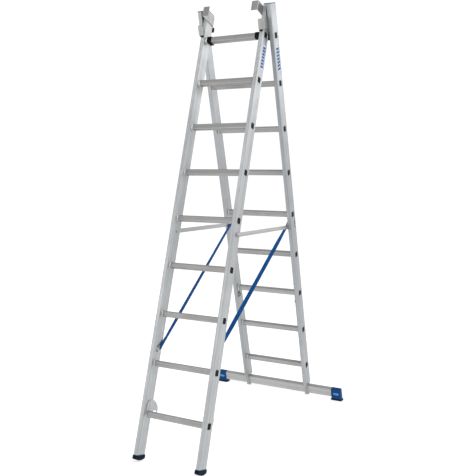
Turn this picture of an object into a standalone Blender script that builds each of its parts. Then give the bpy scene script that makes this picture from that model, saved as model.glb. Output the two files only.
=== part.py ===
"""Aluminium extension ladder standing as an A-frame: nine-rung front and rear sections,
a wide cross bar under the rear section, folding spreader bars and webbing safety straps.

Frame: +Z up, floor at Z = 0, X across the rungs, front section on the -Y side.
Each section is modelled in its own flat frame (X across, Y through the stile's depth,
Z up along the stile from the floor) and then leaned by its empty.
"""
import math

import bmesh
import bpy
from mathutils import Matrix, Vector

# ---------------------------------------------------------------- driving dimensions, metres
RUNG_COUNT = 9
RUNG_PITCH = 0.280
RUNG_SIZE = 0.033
RUNG_ROUND = 0.0060
RUNG_WALL = 0.0018

STILE_DEPTH = 0.077
STILE_WALL = 0.0020
STILE_ROUND = 0.0030
STILE_ABOVE_LAST_RUNG = 0.185
CAP_THICK = 0.0045

FRONT_LEAN = math.radians(16.80)
FRONT_HALF = 0.2094
FRONT_STILE = 0.024
FRONT_RUNG_1 = 0.254
FRONT_STILE_START = 0.0180

REAR_LEAN = math.radians(15.66)
REAR_HALF = 0.2447
REAR_STILE = 0.026
REAR_RUNG_1 = 0.250
REAR_STILE_START = 0.0898

HINGE_BEHIND_FRONT = 0.064
REAR_BASE_Y = 0.73742
GAP = 0.0003

FOOT_RADIUS = 0.095
FOOT_TOP = 0.032
FOOT_PROUD = 0.0022

BAR_DEPTH = 0.032
BAR_BOTTOM = 0.0295
BAR_TOP = 0.0895
BAR_WALL = 0.0025
BAR_HALF = 0.4172
CLAMP_WALL = 0.0030
CLAMP_BASE = 0.0150
CLAMP_TOP = 0.170
TFOOT_INNER = 0.4175
TFOOT_OUTER = 0.4890
TFOOT_DEPTH = 0.0390
TFOOT_SPIGOT = 0.045
SOLE_TOP = 0.0125
SOLE_FLOOR = 0.0070

GUIDE_WALL = 0.0035
FRONT_GUIDE_LOW = 0.113
FRONT_GUIDE_HIGH = 0.170
FRONT_GUIDE_FACE = -0.100
FRONT_GUIDE_TIP = 0.1427
REAR_GUIDE_LOW = 0.046
REAR_GUIDE_HIGH = 0.104
REAR_GUIDE_FACE = -0.1065
REAR_GUIDE_TIP = 0.1858
REAR_GUIDE_FLANGE = 0.0030

SPREADER_HEIGHT = 1.040
SPREADER_PIVOT_W = -0.030
SPREADER_INNER = 0.2112
SPREADER_THICK = 0.0030
SPREADER_WIDTH = 0.025
PIN_RADIUS = 0.0040
STUD_RADIUS = 0.0035

STRAP_WIDTH = 0.025
STRAP_THICK = 0.0016
STRAP_TOP_HEIGHT = 1.050
STRAP_TOP_W = -0.015
STRAP_TOP_X = 0.2065
STRAP_LOW_HEIGHT = 0.369
STRAP_LOW_W = 0.013
STRAP_LOW_X = 0.1795
STRAP_BOLT_HEIGHT = 0.348
STRAP_FACING = Vector((1.0, -0.13, 0.0))
RING_ROD = 0.0020
RING_HALF = 0.0165
RING_REACH = 0.0245

# ---------------------------------------------------------------- derived places
FRONT_LAST = FRONT_RUNG_1 + RUNG_PITCH * (RUNG_COUNT - 1)
REAR_LAST = REAR_RUNG_1 + RUNG_PITCH * (RUNG_COUNT - 1)
FRONT_INNER = FRONT_HALF - FRONT_STILE
REAR_INNER = REAR_HALF - REAR_STILE
HINGE_Y = REAR_BASE_Y - REAR_LAST * math.sin(REAR_LEAN)
HINGE_Z = REAR_LAST * math.cos(REAR_LEAN)
HINGE_S = (HINGE_Z + HINGE_BEHIND_FRONT * math.sin(FRONT_LEAN)) / math.cos(FRONT_LEAN)
FRONT_BASE_Y = (HINGE_Y - HINGE_S * math.sin(FRONT_LEAN)
                - HINGE_BEHIND_FRONT * math.cos(FRONT_LEAN))

for old in list(bpy.data.objects):
    bpy.data.objects.remove(old, do_unlink=True)

scene = bpy.context.scene
ladder = bpy.data.collections.new("extension_ladder")
scene.collection.children.link(ladder)
workshop = bpy.data.collections.new("construction")
scene.collection.children.link(workshop)


# ---------------------------------------------------------------- materials
def material(name, colour, roughness, metallic):
    made = bpy.data.materials.new(name)
    made.use_nodes = True
    shader = made.node_tree.nodes["Principled BSDF"]
    shader.inputs["Base Color"].default_value = (*colour, 1.0)
    shader.inputs["Roughness"].default_value = roughness
    shader.inputs["Metallic"].default_value = metallic
    made.diffuse_color = (*colour, 1.0)
    return made


STILE_ALU = material("stile_aluminium", (0.56, 0.59, 0.62), 0.38, 0.9)
RUNG_ALU = material("rung_aluminium", (0.48, 0.51, 0.55), 0.42, 0.9)
FITTING_ALU = material("fitting_aluminium", (0.60, 0.63, 0.66), 0.40, 0.9)
BLACK_PLASTIC = material("black_plastic", (0.02, 0.02, 0.025), 0.55, 0.0)
BLUE_PLASTIC = material("blue_plastic", (0.0, 0.07, 0.22), 0.45, 0.0)
NAVY_RUBBER = material("navy_rubber", (0.012, 0.02, 0.05), 0.65, 0.0)
BLACK_RUBBER = material("black_rubber", (0.015, 0.015, 0.015), 0.75, 0.0)
STEEL = material("zinc_steel", (0.45, 0.46, 0.47), 0.35, 1.0)
WEBBING = material("blue_webbing", (0.004, 0.075, 0.30), 0.85, 0.0)


# ---------------------------------------------------------------- frames of the two sections
def empty(name, location, lean=0.0, parent=None):
    made = bpy.data.objects.new(name, None)
    made.empty_display_size = 0.05
    ladder.objects.link(made)
    made.parent = parent
    made.location = location
    made.rotation_euler = (lean, 0.0, 0.0)
    return made


rear_frame = empty("rear_frame", (0.0, REAR_BASE_Y, 0.0), REAR_LEAN)
fold_axis = empty("fold_axis", (0.0, HINGE_Y, HINGE_Z))
front_frame = empty("front_frame", (0.0, FRONT_BASE_Y - HINGE_Y, -HINGE_Z), -FRONT_LEAN, fold_axis)
bpy.context.view_layer.update()


def front_point(x, w, s):
    return front_frame.matrix_world @ Vector((x, w, s))


def rear_point(x, w, s):
    return rear_frame.matrix_world @ Vector((x, w, s))


# ---------------------------------------------------------------- modelling helpers
def evaluated(temp):
    """The mesh of an object after its modifiers; the object itself is removed."""
    bpy.context.view_layer.update()
    depsgraph = bpy.context.evaluated_depsgraph_get()
    mesh = bpy.data.meshes.new_from_object(temp.evaluated_get(depsgraph))
    bpy.data.objects.remove(temp, do_unlink=True)
    return mesh


def temporary(name, data):
    made = bpy.data.objects.new(name, data)
    workshop.objects.link(made)
    made.hide_render = True
    made.display_type = "WIRE"
    return made


def closed(mesh):
    """Welds a mesh and turns its faces outward."""
    bm = bmesh.new()
    bm.from_mesh(mesh)
    bmesh.ops.remove_doubles(bm, verts=bm.verts, dist=2e-6)
    bmesh.ops.recalc_face_normals(bm, faces=bm.faces)
    bm.to_mesh(mesh)
    bm.free()
    return mesh


ACROSS = Matrix(((0, 0, 1, 0), (1, 0, 0, 0), (0, 1, 0, 0), (0, 0, 0, 1)))


def outline(loops, low, high, across=False):
    """Extrudes closed outlines (the first outside, the rest holes) from low to high.

    Outlines lie in (x, w) and run along s, or with across in (w, s) and run along x.
    """
    curve = bpy.data.curves.new("outline", "CURVE")
    curve.dimensions = "2D"
    curve.fill_mode = "BOTH"
    curve.extrude = (high - low) / 2.0
    for loop in loops:
        spline = curve.splines.new("POLY")
        spline.points.add(len(loop) - 1)
        for point, (u, v) in zip(spline.points, loop):
            point.co = (u, v, 0.0, 1.0)
        spline.use_cyclic_u = True
    mesh = evaluated(temporary("outline", curve))
    mesh.transform(Matrix.Translation((0.0, 0.0, (low + high) / 2.0)))
    if across:
        mesh.transform(ACROSS)
    return closed(mesh)


def arc(cx, cy, radius, start, stop, steps):
    """Points on an arc, angles in degrees."""
    points = []
    for i in range(steps + 1):
        angle = math.radians(start + (stop - start) * i / steps)
        points.append((cx + radius * math.cos(angle), cy + radius * math.sin(angle)))
    return points


def rounded(u0, u1, v0, v1, radius, steps=2):
    points = arc(u1 - radius, v1 - radius, radius, 0, 90, steps)
    points += arc(u0 + radius, v1 - radius, radius, 90, 180, steps)
    points += arc(u0 + radius, v0 + radius, radius, 180, 270, steps)
    points += arc(u1 - radius, v0 + radius, radius, 270, 360, steps)
    return points


def block(x0, x1, w0, w1, s0, s1, bevel=0.0):
    bm = bmesh.new()
    bmesh.ops.create_cube(bm, size=1.0)
    bmesh.ops.scale(bm, vec=(x1 - x0, w1 - w0, s1 - s0), verts=bm.verts)
    centre = ((x0 + x1) / 2.0, (w0 + w1) / 2.0, (s0 + s1) / 2.0)
    bmesh.ops.translate(bm, vec=centre, verts=bm.verts)
    if bevel:
        bmesh.ops.bevel(bm, geom=bm.edges[:], offset=bevel, segments=2, profile=0.5, affect="EDGES")
    mesh = bpy.data.meshes.new("block")
    bm.to_mesh(mesh)
    bm.free()
    return mesh


def rod(start, end, radius, sides=16):
    start = Vector(start)
    end = Vector(end)
    run = end - start
    bm = bmesh.new()
    turn = run.to_track_quat("Z", "Y").to_matrix().to_4x4()
    bmesh.ops.create_cone(bm, cap_ends=True, segments=sides, radius1=radius, radius2=radius,
                          depth=run.length, matrix=Matrix.Translation((start + end) / 2.0) @ turn)
    mesh = bpy.data.meshes.new("rod")
    bm.to_mesh(mesh)
    bm.free()
    return mesh


def turned(profile, w, s):
    """A fastener turned about an axis along x at (w, s); profile is (radius, x) from +x to -x."""
    mesh = bpy.data.meshes.new("profile")
    edges = [(i, i + 1) for i in range(len(profile) - 1)]
    mesh.from_pydata([(r, 0.0, x) for r, x in profile], edges, [])
    temp = temporary("profile", mesh)
    screw = temp.modifiers.new("Screw", "SCREW")
    screw.steps = 16
    screw.render_steps = 16
    screw.use_merge_vertices = True
    screw.merge_threshold = 0.00001
    made = evaluated(temp)
    made.transform(Matrix.Translation((0.0, w, s)) @ Matrix.Rotation(math.radians(90), 4, "Y"))
    return closed(made)


def combined(mesh, others, operation):
    """Joins or cuts a mesh with others, one after another."""
    for other in others:
        base = temporary("base", mesh)
        tool = temporary("tool", other)
        boolean = base.modifiers.new("Boolean", "BOOLEAN")
        boolean.object = tool
        boolean.operation = operation
        boolean.solver = "EXACT"
        mesh = evaluated(base)
        bpy.data.objects.remove(tool, do_unlink=True)
    return closed(mesh)


def stacked(meshes):
    """Several separate closed cutters as one mesh."""
    bm = bmesh.new()
    for mesh in meshes:
        bm.from_mesh(mesh)
    made = bpy.data.meshes.new("stack")
    bm.to_mesh(made)
    bm.free()
    return made


def wire_ring(points, radius):
    curve = bpy.data.curves.new("ring", "CURVE")
    curve.dimensions = "3D"
    curve.bevel_depth = radius
    curve.bevel_resolution = 2
    spline = curve.splines.new("POLY")
    spline.points.add(len(points) - 1)
    for point, place in zip(spline.points, points):
        point.co = (*place, 1.0)
    spline.use_cyclic_u = True
    return closed(evaluated(temporary("ring", curve)))


def mirrored(mesh):
    made = mesh.copy()
    made.transform(Matrix.Scale(-1.0, 4, (1.0, 0.0, 0.0)))
    made.flip_normals()
    return made


def add(name, mesh, parent, surface, pivot=None):
    """Puts a finished mesh in the ladder, with its origin on its pivot when it has one."""
    made = bpy.data.objects.new(name, mesh)
    mesh.name = name
    ladder.objects.link(made)
    made.parent = parent
    if pivot is not None:
        mesh.transform(Matrix.Translation(-Vector(pivot)))
        made.location = pivot
    mesh.materials.clear()
    mesh.materials.append(surface)
    mesh.shade_smooth()
    mesh.set_sharp_from_angle(angle=math.radians(32))
    return made


def add_pair(name, mesh, parent, surface, pivot=None):
    """The right-hand piece (+X) and its mirrored left-hand twin."""
    other = mirrored(mesh)
    twin = None if pivot is None else (-pivot[0], pivot[1], pivot[2])
    add(name + "_right", mesh, parent, surface, pivot)
    add(name + "_left", other, parent, surface, twin)


# ---------------------------------------------------------------- rungs, stiles and their caps
def rung_section(centre, grow):
    half = RUNG_SIZE / 2.0 + grow
    return rounded(-half, half, centre - half, centre + half, RUNG_ROUND + grow)


def rungs(prefix, first, half_width, parent):
    for i in range(RUNG_COUNT):
        centre = first + RUNG_PITCH * i
        loops = [rung_section(centre, 0.0), rung_section(centre, -RUNG_WALL)]
        mesh = outline(loops, -half_width + 2e-4, half_width - 2e-4, across=True)
        add("%s_rung_%d" % (prefix, i + 1), mesh, parent, RUNG_ALU)


def stile(inner, outer, start, stop, first_rung, bolts):
    """Hollow rectangular profile, pierced by every rung and by its bolts."""
    half = STILE_DEPTH / 2.0
    wall = STILE_WALL
    profile = rounded(inner, outer, -half, half, STILE_ROUND)
    hollow = rounded(inner + wall, outer - wall, -half + wall, half - wall, 0.0010, 1)
    cutters = []
    for i in range(RUNG_COUNT):
        section = rung_section(first_rung + RUNG_PITCH * i, GAP)
        cutters.append(outline([section], inner - 0.01, outer + 0.01, across=True))
    for w, s, radius in bolts:
        cutters.append(rod((inner - 0.01, w, s), (outer + 0.01, w, s), radius + GAP))
    body = outline([profile, hollow], start, stop)
    return combined(body, [stacked(cutters)], "DIFFERENCE")


def top_cap(inner, outer, top):
    """Thin lid with a plug that sits in the open end of the stile."""
    half = STILE_DEPTH / 2.0
    inset = STILE_WALL + 2.0 * GAP
    lid = outline([rounded(inner, outer, -half, half, STILE_ROUND)], top - CAP_THICK + GAP, top)
    plug = block(inner + inset, outer - inset, -half + inset, half - inset,
                 top - CAP_THICK - 0.012, top - CAP_THICK + 0.002)
    return combined(lid, [plug], "UNION")


FRONT_TOP = FRONT_LAST + STILE_ABOVE_LAST_RUNG
REAR_TOP = REAR_LAST + STILE_ABOVE_LAST_RUNG
STUD_S = FRONT_RUNG_1 + SPREADER_HEIGHT
STRAP_BOLT_S = FRONT_RUNG_1 + STRAP_BOLT_HEIGHT

rungs("front", FRONT_RUNG_1, FRONT_HALF, front_frame)
rungs("rear", REAR_RUNG_1, REAR_HALF, rear_frame)

front_bolts = [(0.0, STUD_S, STUD_RADIUS), (0.0, STRAP_BOLT_S, 0.0030)]
front_stile = stile(FRONT_INNER, FRONT_HALF, FRONT_STILE_START, FRONT_TOP - CAP_THICK,
                    FRONT_RUNG_1, front_bolts)
add_pair("front_stile", front_stile, front_frame, STILE_ALU)
rear_stile = stile(REAR_INNER, REAR_HALF, REAR_STILE_START, REAR_TOP - CAP_THICK,
                   REAR_RUNG_1, [])
add_pair("rear_stile", rear_stile, rear_frame, STILE_ALU)
add_pair("front_top_cap", top_cap(FRONT_INNER, FRONT_HALF, FRONT_TOP), front_frame, BLUE_PLASTIC)
add_pair("rear_top_cap", top_cap(REAR_INNER, REAR_HALF, REAR_TOP), rear_frame, BLUE_PLASTIC)


# ---------------------------------------------------------------- feet of the front section
def front_foot():
    """Boot on the stile's end: a round sole that touches the floor on its tangent."""
    half = STILE_DEPTH / 2.0 + 0.0027
    centre = FOOT_RADIUS / math.cos(FRONT_LEAN)
    edge = math.degrees(math.asin(half / FOOT_RADIUS))
    profile = [(half, FOOT_TOP), (-half, FOOT_TOP)]
    profile += arc(0.0, centre, FOOT_RADIUS, 270 - edge, 270 + edge, 12)
    boot = outline([profile], FRONT_INNER - FOOT_PROUD, FRONT_HALF + FOOT_PROUD, across=True)
    pocket = block(FRONT_INNER - GAP, FRONT_HALF + GAP, -STILE_DEPTH / 2.0 - GAP,
                   STILE_DEPTH / 2.0 + GAP, FRONT_STILE_START - GAP, FOOT_TOP + 0.02)
    return combined(boot, [pocket], "DIFFERENCE")


add_pair("front_foot", front_foot(), front_frame, NAVY_RUBBER)


# ---------------------------------------------------------------- cross bar and its feet
def traverse_clamp_shape():
    """Cradle that holds the bar up against the stile: two tongues run up inside the profile."""
    x = (REAR_INNER + REAR_HALF) / 2.0
    half = BAR_DEPTH / 2.0 + GAP
    outer = half + CLAMP_WALL
    bottom = BAR_BOTTOM - CLAMP_BASE
    cradle = [(outer, BAR_TOP), (half, BAR_TOP), (half, BAR_BOTTOM - GAP)]
    cradle += [(-half, BAR_BOTTOM - GAP), (-half, BAR_TOP), (-outer, BAR_TOP)]
    cradle += arc(-outer + 0.006, bottom + 0.006, 0.006, 180, 270, 3)
    cradle += arc(outer - 0.006, bottom + 0.006, 0.006, 270, 360, 3)
    lower = outline([cradle], x - 0.0125, x + 0.0125, across=True)
    reach = REAR_STILE / 2.0 - STILE_WALL - 2.0 * GAP
    tongues = []
    for side in (-1.0, 1.0):
        low, high = sorted((side * half, side * outer))
        tongues.append(block(x - reach, x + reach, low, high, BAR_TOP - 0.010, CLAMP_TOP))
    return combined(lower, tongues, "UNION")


def traverse_bar_shape():
    half = BAR_DEPTH / 2.0
    outer = rounded(-half, half, BAR_BOTTOM, BAR_TOP, 0.0035)
    inner = rounded(-half + BAR_WALL, half - BAR_WALL, BAR_BOTTOM + BAR_WALL, BAR_TOP - BAR_WALL,
                    0.0012, 1)
    return outline([outer, inner], -BAR_HALF, BAR_HALF, across=True)


def slab(x0, x1, depth, z0, z1, spread=0.0, bevel=0.0):
    """Level block under the leaning bar, in world axes; its foot may spread outward."""
    y_low = REAR_BASE_Y - z0 * math.tan(REAR_LEAN)
    y_high = REAR_BASE_Y - z1 * math.tan(REAR_LEAN)
    half = depth / 2.0
    bm = bmesh.new()
    bmesh.ops.create_cube(bm, size=1.0)
    for vert in bm.verts:
        low = vert.co.z < 0.0
        grow = spread if low else 0.0
        middle = y_low if low else y_high
        vert.co.x = (x1 + grow) if vert.co.x > 0.0 else (x0 - grow)
        vert.co.y = middle + ((half + grow) if vert.co.y > 0.0 else (-half - grow))
        vert.co.z = z0 if low else z1
    if bevel:
        bmesh.ops.bevel(bm, geom=bm.edges[:], offset=bevel, segments=2, profile=0.5, affect="EDGES")
    mesh = bpy.data.meshes.new("slab")
    bm.to_mesh(mesh)
    bm.free()
    mesh.transform(rear_frame.matrix_world.inverted())
    return mesh


def traverse_foot_shape():
    """End block of the bar, flush with it on top, with a spigot plugged into the tube."""
    low = SOLE_FLOOR + GAP
    top = BAR_TOP + 0.0008
    half = TFOOT_DEPTH / 2.0
    bm = bmesh.new()
    bmesh.ops.create_cube(bm, size=1.0)
    for vert in bm.verts:
        outer = vert.co.x > 0.0
        if vert.co.z < 0.0:
            y = REAR_BASE_Y - low * math.tan(REAR_LEAN) + math.copysign(half, vert.co.y)
            corner = Vector((TFOOT_OUTER if outer else TFOOT_INNER, y, low))
            vert.co = rear_frame.matrix_world.inverted() @ corner
        else:
            vert.co.x = TFOOT_OUTER - 0.002 if outer else TFOOT_INNER
            vert.co.y = math.copysign(BAR_DEPTH / 2.0 + 0.0008, vert.co.y)
            vert.co.z = top
    bmesh.ops.bevel(bm, geom=bm.edges[:], offset=0.0038, segments=2, profile=0.5, affect="EDGES")
    mesh = bpy.data.meshes.new("traverse_foot")
    bm.to_mesh(mesh)
    bm.free()
    inset = BAR_WALL + GAP
    spigot = block(TFOOT_INNER - TFOOT_SPIGOT, TFOOT_INNER + 0.010, -BAR_DEPTH / 2.0 + inset,
                   BAR_DEPTH / 2.0 - inset, BAR_BOTTOM + inset, BAR_TOP - inset, 0.0014)
    return combined(mesh, [spigot], "UNION")


def sole_shape():
    """Rubber tray, flat on the floor, that the block's lower edge sits in."""
    tray = slab(TFOOT_INNER - 0.0018, TFOOT_OUTER + 0.0018, TFOOT_DEPTH + 0.005, 0.0, SOLE_TOP,
                0.0015, 0.0012)
    recess = slab(TFOOT_INNER - GAP, TFOOT_OUTER + GAP, TFOOT_DEPTH + 2.0 * GAP,
                  SOLE_FLOOR, SOLE_TOP + 0.02)
    return combined(tray, [recess], "DIFFERENCE")


add("traverse_bar", traverse_bar_shape(), rear_frame, FITTING_ALU)
add_pair("traverse_clamp", traverse_clamp_shape(), rear_frame, FITTING_ALU)
add_pair("traverse_foot", traverse_foot_shape(), rear_frame, BLUE_PLASTIC)
add_pair("traverse_sole", sole_shape(), rear_frame, BLACK_RUBBER)


# ---------------------------------------------------------------- fittings at the top
def angle_guide(face, tip, plate_outer, plate_back, flange, low, high):
    """Bent guide: a plate flat on the stile and a flange that turns inward at its front."""
    plate_inner = plate_outer - GUIDE_WALL
    profile = [(plate_outer, plate_back)]
    profile += reversed(arc(plate_outer - 0.005, face + 0.005, 0.005, 270, 360, 4))
    profile += [(tip, face), (tip, face + flange)]
    profile += arc(plate_inner - 0.002, face + flange + 0.002, 0.002, 270, 360, 2)
    profile += [(plate_inner, plate_back)]
    return outline([profile], low, high)


def sleeve_shape():
    radius = HINGE_BEHIND_FRONT - STILE_DEPTH / 2.0 - GAP
    ring = arc(0.0, REAR_LAST, radius, 0, 360, 28)[:-1]
    return outline([ring, rung_section(REAR_LAST, GAP)], FRONT_INNER, REAR_INNER - GAP, across=True)


def rung_pad_shape():
    """Spring clip over the front and top of the uppermost front rung."""
    outer = rung_section(FRONT_LAST, 0.0035)
    inner = rung_section(FRONT_LAST, GAP)
    ring = outline([outer, inner], 0.148, 0.174, across=True)
    opening = block(0.140, 0.182, 0.0060, 0.040, FRONT_LAST - 0.040, FRONT_LAST + 0.0100)
    return combined(ring, [opening], "DIFFERENCE")


add_pair("front_guide", angle_guide(FRONT_GUIDE_FACE, FRONT_GUIDE_TIP, FRONT_INNER - GAP, 0.036,
                                    GUIDE_WALL, FRONT_LAST + FRONT_GUIDE_LOW,
                                    FRONT_LAST + FRONT_GUIDE_HIGH), front_frame, FITTING_ALU)
add_pair("rear_guide", angle_guide(REAR_GUIDE_FACE, REAR_GUIDE_TIP, REAR_INNER - GAP, 0.030,
                                   REAR_GUIDE_FLANGE, REAR_LAST + REAR_GUIDE_LOW,
                                   REAR_LAST + REAR_GUIDE_HIGH), rear_frame, FITTING_ALU)
add_pair("rear_rung_sleeve", sleeve_shape(), rear_frame, BLACK_PLASTIC)
add_pair("rung_pad", rung_pad_shape(), front_frame, BLACK_PLASTIC)
add_pair("stop_pad", block(0.1822, FRONT_HALF, STILE_DEPTH / 2.0 + GAP, 0.058,
                           FRONT_LAST + 0.085, FRONT_LAST + 0.112, 0.002), front_frame, BLACK_PLASTIC)


# ---------------------------------------------------------------- lower rung hooks
def rung_hook_shape():
    """Plate on the stile that straddles rung 1 and ends in a hook for the rear rung."""
    base = FRONT_RUNG_1
    notch = RUNG_SIZE / 2.0 + 0.0005
    profile = [(-0.0225, 0.0), (-notch, 0.0)]
    profile += [(-notch, 0.0130), (-0.0130, notch), (0.0130, notch), (notch, 0.0130), (notch, 0.0)]
    profile += [(0.0400, 0.0), (0.0450, 0.0090)]
    profile += reversed(arc(0.0510, 0.0125, 0.0060, 90, 180, 3))
    profile += reversed(arc(0.0750, 0.0125, 0.0060, 0, 90, 3))
    profile += [(0.0810, 0.0010), (0.0835, -0.0010), (0.0868, -0.0010), (0.0890, 0.0030)]
    profile += [(0.0898, 0.0150), (0.0904, 0.0245), (0.0888, 0.0330), (0.0832, 0.0440)]
    profile += [(0.0726, 0.0560), (0.0604, 0.0650), (0.0500, 0.0715), (0.0420, 0.0750)]
    profile += [(0.0330, 0.0763), (0.0020, 0.0763), (-0.0065, 0.0740), (-0.0145, 0.0675)]
    profile += [(-0.0200, 0.0570), (-0.0225, 0.0450)]
    loop = [(w, base + s) for w, s in profile]
    return outline([loop], FRONT_INNER - GAP - 0.0040, FRONT_INNER - GAP, across=True)


add_pair("rung_hook", rung_hook_shape(), front_frame, FITTING_ALU)


# ---------------------------------------------------------------- strap route and its rings
STRAP_TOP = rear_point(STRAP_TOP_X, STRAP_TOP_W, REAR_RUNG_1 + STRAP_TOP_HEIGHT)
STRAP_LOW = front_point(STRAP_LOW_X, STRAP_LOW_W, FRONT_RUNG_1 + STRAP_LOW_HEIGHT)
STRAP_RUN = (STRAP_LOW - STRAP_TOP).normalized()
STRAP_LENGTH = (STRAP_LOW - STRAP_TOP).length
STRAP_NORMAL = (STRAP_FACING - STRAP_FACING.dot(STRAP_RUN) * STRAP_RUN).normalized()
STRAP_EDGE = STRAP_RUN.cross(STRAP_NORMAL)


def ring_points(middle, away):
    """Rounded triangle: the webbing's straight bar, and two arms that meet at the bolt."""
    corner = STRAP_EDGE * RING_HALF
    points = [middle - corner * 0.86, middle + corner * 0.86]
    points += [middle + corner + away * 0.0022, middle + corner + away * 0.0052]
    points += [middle + corner * 0.22 + away * RING_REACH, middle - corner * 0.22 + away * RING_REACH]
    points += [middle - corner + away * 0.0052, middle - corner + away * 0.0022]
    return points


def strap_shape():
    """Taut webbing, sewn back on itself into a loop round each ring's bar."""
    length = STRAP_LENGTH
    thin = STRAP_THICK / 2.0
    double = STRAP_THICK
    loop = RING_ROD + GAP + STRAP_THICK
    top_side = [(0.010, double), (0.050, double), (0.053, thin), (length - 0.075, thin),
                (length - 0.072, double), (length - 0.010, double)]
    profile = list(reversed(arc(0.0, 0.0, loop, 60, 300, 12)))
    profile += top_side
    profile += reversed(arc(length, 0.0, loop, -120, 120, 12))
    profile += [(a, -b) for a, b in reversed(top_side)]
    holes = []
    for centre in (0.0, length):
        holes.append(arc(centre, 0.0, RING_ROD + GAP, 0, 360, 14)[:-1])
    mesh = outline([profile] + holes, -STRAP_WIDTH / 2.0, STRAP_WIDTH / 2.0)
    turn = Matrix((STRAP_RUN, STRAP_NORMAL, STRAP_EDGE)).transposed().to_4x4()
    mesh.transform(Matrix.Translation(STRAP_TOP) @ turn)
    mesh.transform(rear_frame.matrix_world.inverted())
    return closed(mesh)


def strap_ring_shape():
    """Ring on the front stile, its bolt right through the profile."""
    head = FRONT_INNER - GAP
    apex = STRAP_LOW + STRAP_RUN * (RING_REACH - 0.001)
    depth = apex.x
    points = [front_frame.matrix_world.inverted() @ p for p in ring_points(STRAP_LOW, STRAP_RUN)]
    bolt = turned([(0.0, FRONT_HALF + 0.0016), (0.0042, FRONT_HALF + 0.0016),
                   (0.0055, FRONT_HALF + 0.0010), (0.0055, FRONT_HALF + GAP),
                   (0.0030, FRONT_HALF + GAP), (0.0030, head), (0.0062, head),
                   (0.0062, depth - 0.0035), (0.0, depth - 0.0035)], 0.0, STRAP_BOLT_S)
    return combined(bolt, [wire_ring(points, RING_ROD)], "UNION")


def spreader_bracket_shape():
    """Plate on the rear stile with the spreader bar's pin and the strap's upper ring."""
    plate_face = REAR_INNER - GAP
    s = REAR_RUNG_1 + SPREADER_HEIGHT
    back = plate_face - 0.0019
    plate = outline([[(w, s + v) for w, v in rounded(-0.0440, 0.0130, -0.0130, 0.0400, 0.010, 4)]],
                    back, plate_face, across=True)
    bar_in = SPREADER_INNER - GAP
    pin = turned([(0.0, back + 0.001), (PIN_RADIUS, back + 0.001), (PIN_RADIUS, bar_in),
                  (0.0068, bar_in), (0.0068, bar_in - 0.0006), (0.0050, bar_in - 0.0011),
                  (0.0, bar_in - 0.0011)], SPREADER_PIVOT_W, s)
    inverse = rear_frame.matrix_world.inverted()
    points = [inverse @ p for p in ring_points(STRAP_TOP, -STRAP_RUN)]
    apex = inverse @ (STRAP_TOP - STRAP_RUN * (RING_REACH - 0.001))
    post = turned([(0.0, back + 0.001), (0.0050, back + 0.001), (0.0050, apex.x - 0.0035),
                   (0.0, apex.x - 0.0035)], apex.y, apex.z)
    ring = wire_ring(points, RING_ROD)
    return combined(plate, [pin, post, ring], "UNION")


def spreader_stud_shape():
    """Bolt through the front stile with a lipped stud that the spreader bar hooks over."""
    face = SPREADER_INNER + SPREADER_THICK + 0.0004
    return turned([(0.0, face + 0.0019), (0.0045, face + 0.0019), (0.0060, face + 0.0010),
                   (0.0060, face), (STUD_RADIUS, face), (STUD_RADIUS, FRONT_INNER - GAP),
                   (0.0070, FRONT_INNER - GAP), (0.0070, FRONT_INNER - 0.0030),
                   (0.0055, FRONT_INNER - 0.0040), (0.0, FRONT_INNER - 0.0040)], 0.0, STUD_S)


PIVOT = rear_point(0.0, SPREADER_PIVOT_W, REAR_RUNG_1 + SPREADER_HEIGHT)
STUD = front_point(0.0, 0.0, STUD_S)


def spreader_bar_shape():
    """Flat bar: a bored eye on the rear pin and a slanting hook over the front stud."""
    reach = STUD - PIVOT
    length = reach.length
    half = SPREADER_WIDTH / 2.0
    profile = arc(0.0, 0.0, half, 90, 270, 10) + arc(length, 0.0, half, -90, 90, 10)
    bore = arc(0.0, 0.0, PIN_RADIUS + GAP, 0, 360, 16)[:-1]
    low = SPREADER_INNER
    high = SPREADER_INNER + SPREADER_THICK
    plate = outline([profile, bore], low, high)
    eye = rod((length, 0.0, low - 0.01), (length, 0.0, high + 0.01), STUD_RADIUS + 0.0004)
    mouth = []
    slant = math.radians(-126.0)
    along = Vector((math.cos(slant), math.sin(slant)))
    side = Vector((-along.y, along.x))
    for out, wide in ((0.0, -0.0037), (0.0, 0.0037), (0.026, 0.0085), (0.026, -0.0060)):
        corner = Vector((length, 0.0)) + along * out + side * wide
        mouth.append((corner.x, corner.y))
    slot = outline([mouth], low - 0.01, high + 0.01)
    plate = combined(plate, [eye, slot], "DIFFERENCE")
    angle = math.atan2(reach.z, reach.y)
    forward = Vector((0.0, math.cos(angle), math.sin(angle)))
    upward = Vector((0.0, -math.sin(angle), math.cos(angle)))
    if upward.z < 0.0:
        upward = -upward
    turn = Matrix((forward, upward, Vector((1.0, 0.0, 0.0)))).transposed().to_4x4()
    plate.transform(Matrix.Translation(PIVOT) @ turn)
    plate.transform(rear_frame.matrix_world.inverted())
    return closed(plate)


add_pair("strap_ring", strap_ring_shape(), front_frame, STEEL)
add_pair("spreader_bracket", spreader_bracket_shape(), rear_frame, STEEL)
add_pair("spreader_stud", spreader_stud_shape(), front_frame, STEEL)
add_pair("spreader_bar", spreader_bar_shape(), rear_frame, FITTING_ALU,
         (0.0, SPREADER_PIVOT_W, REAR_RUNG_1 + SPREADER_HEIGHT))
add_pair("strap", strap_shape(), rear_frame, WEBBING)
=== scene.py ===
"""Looks of the aluminium extension ladder: extruded profiles, ribbed rungs, moulded feet,
webbing straps and small fittings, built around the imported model."""

import math

import bmesh
import bpy
from mathutils import Matrix, Vector


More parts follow.
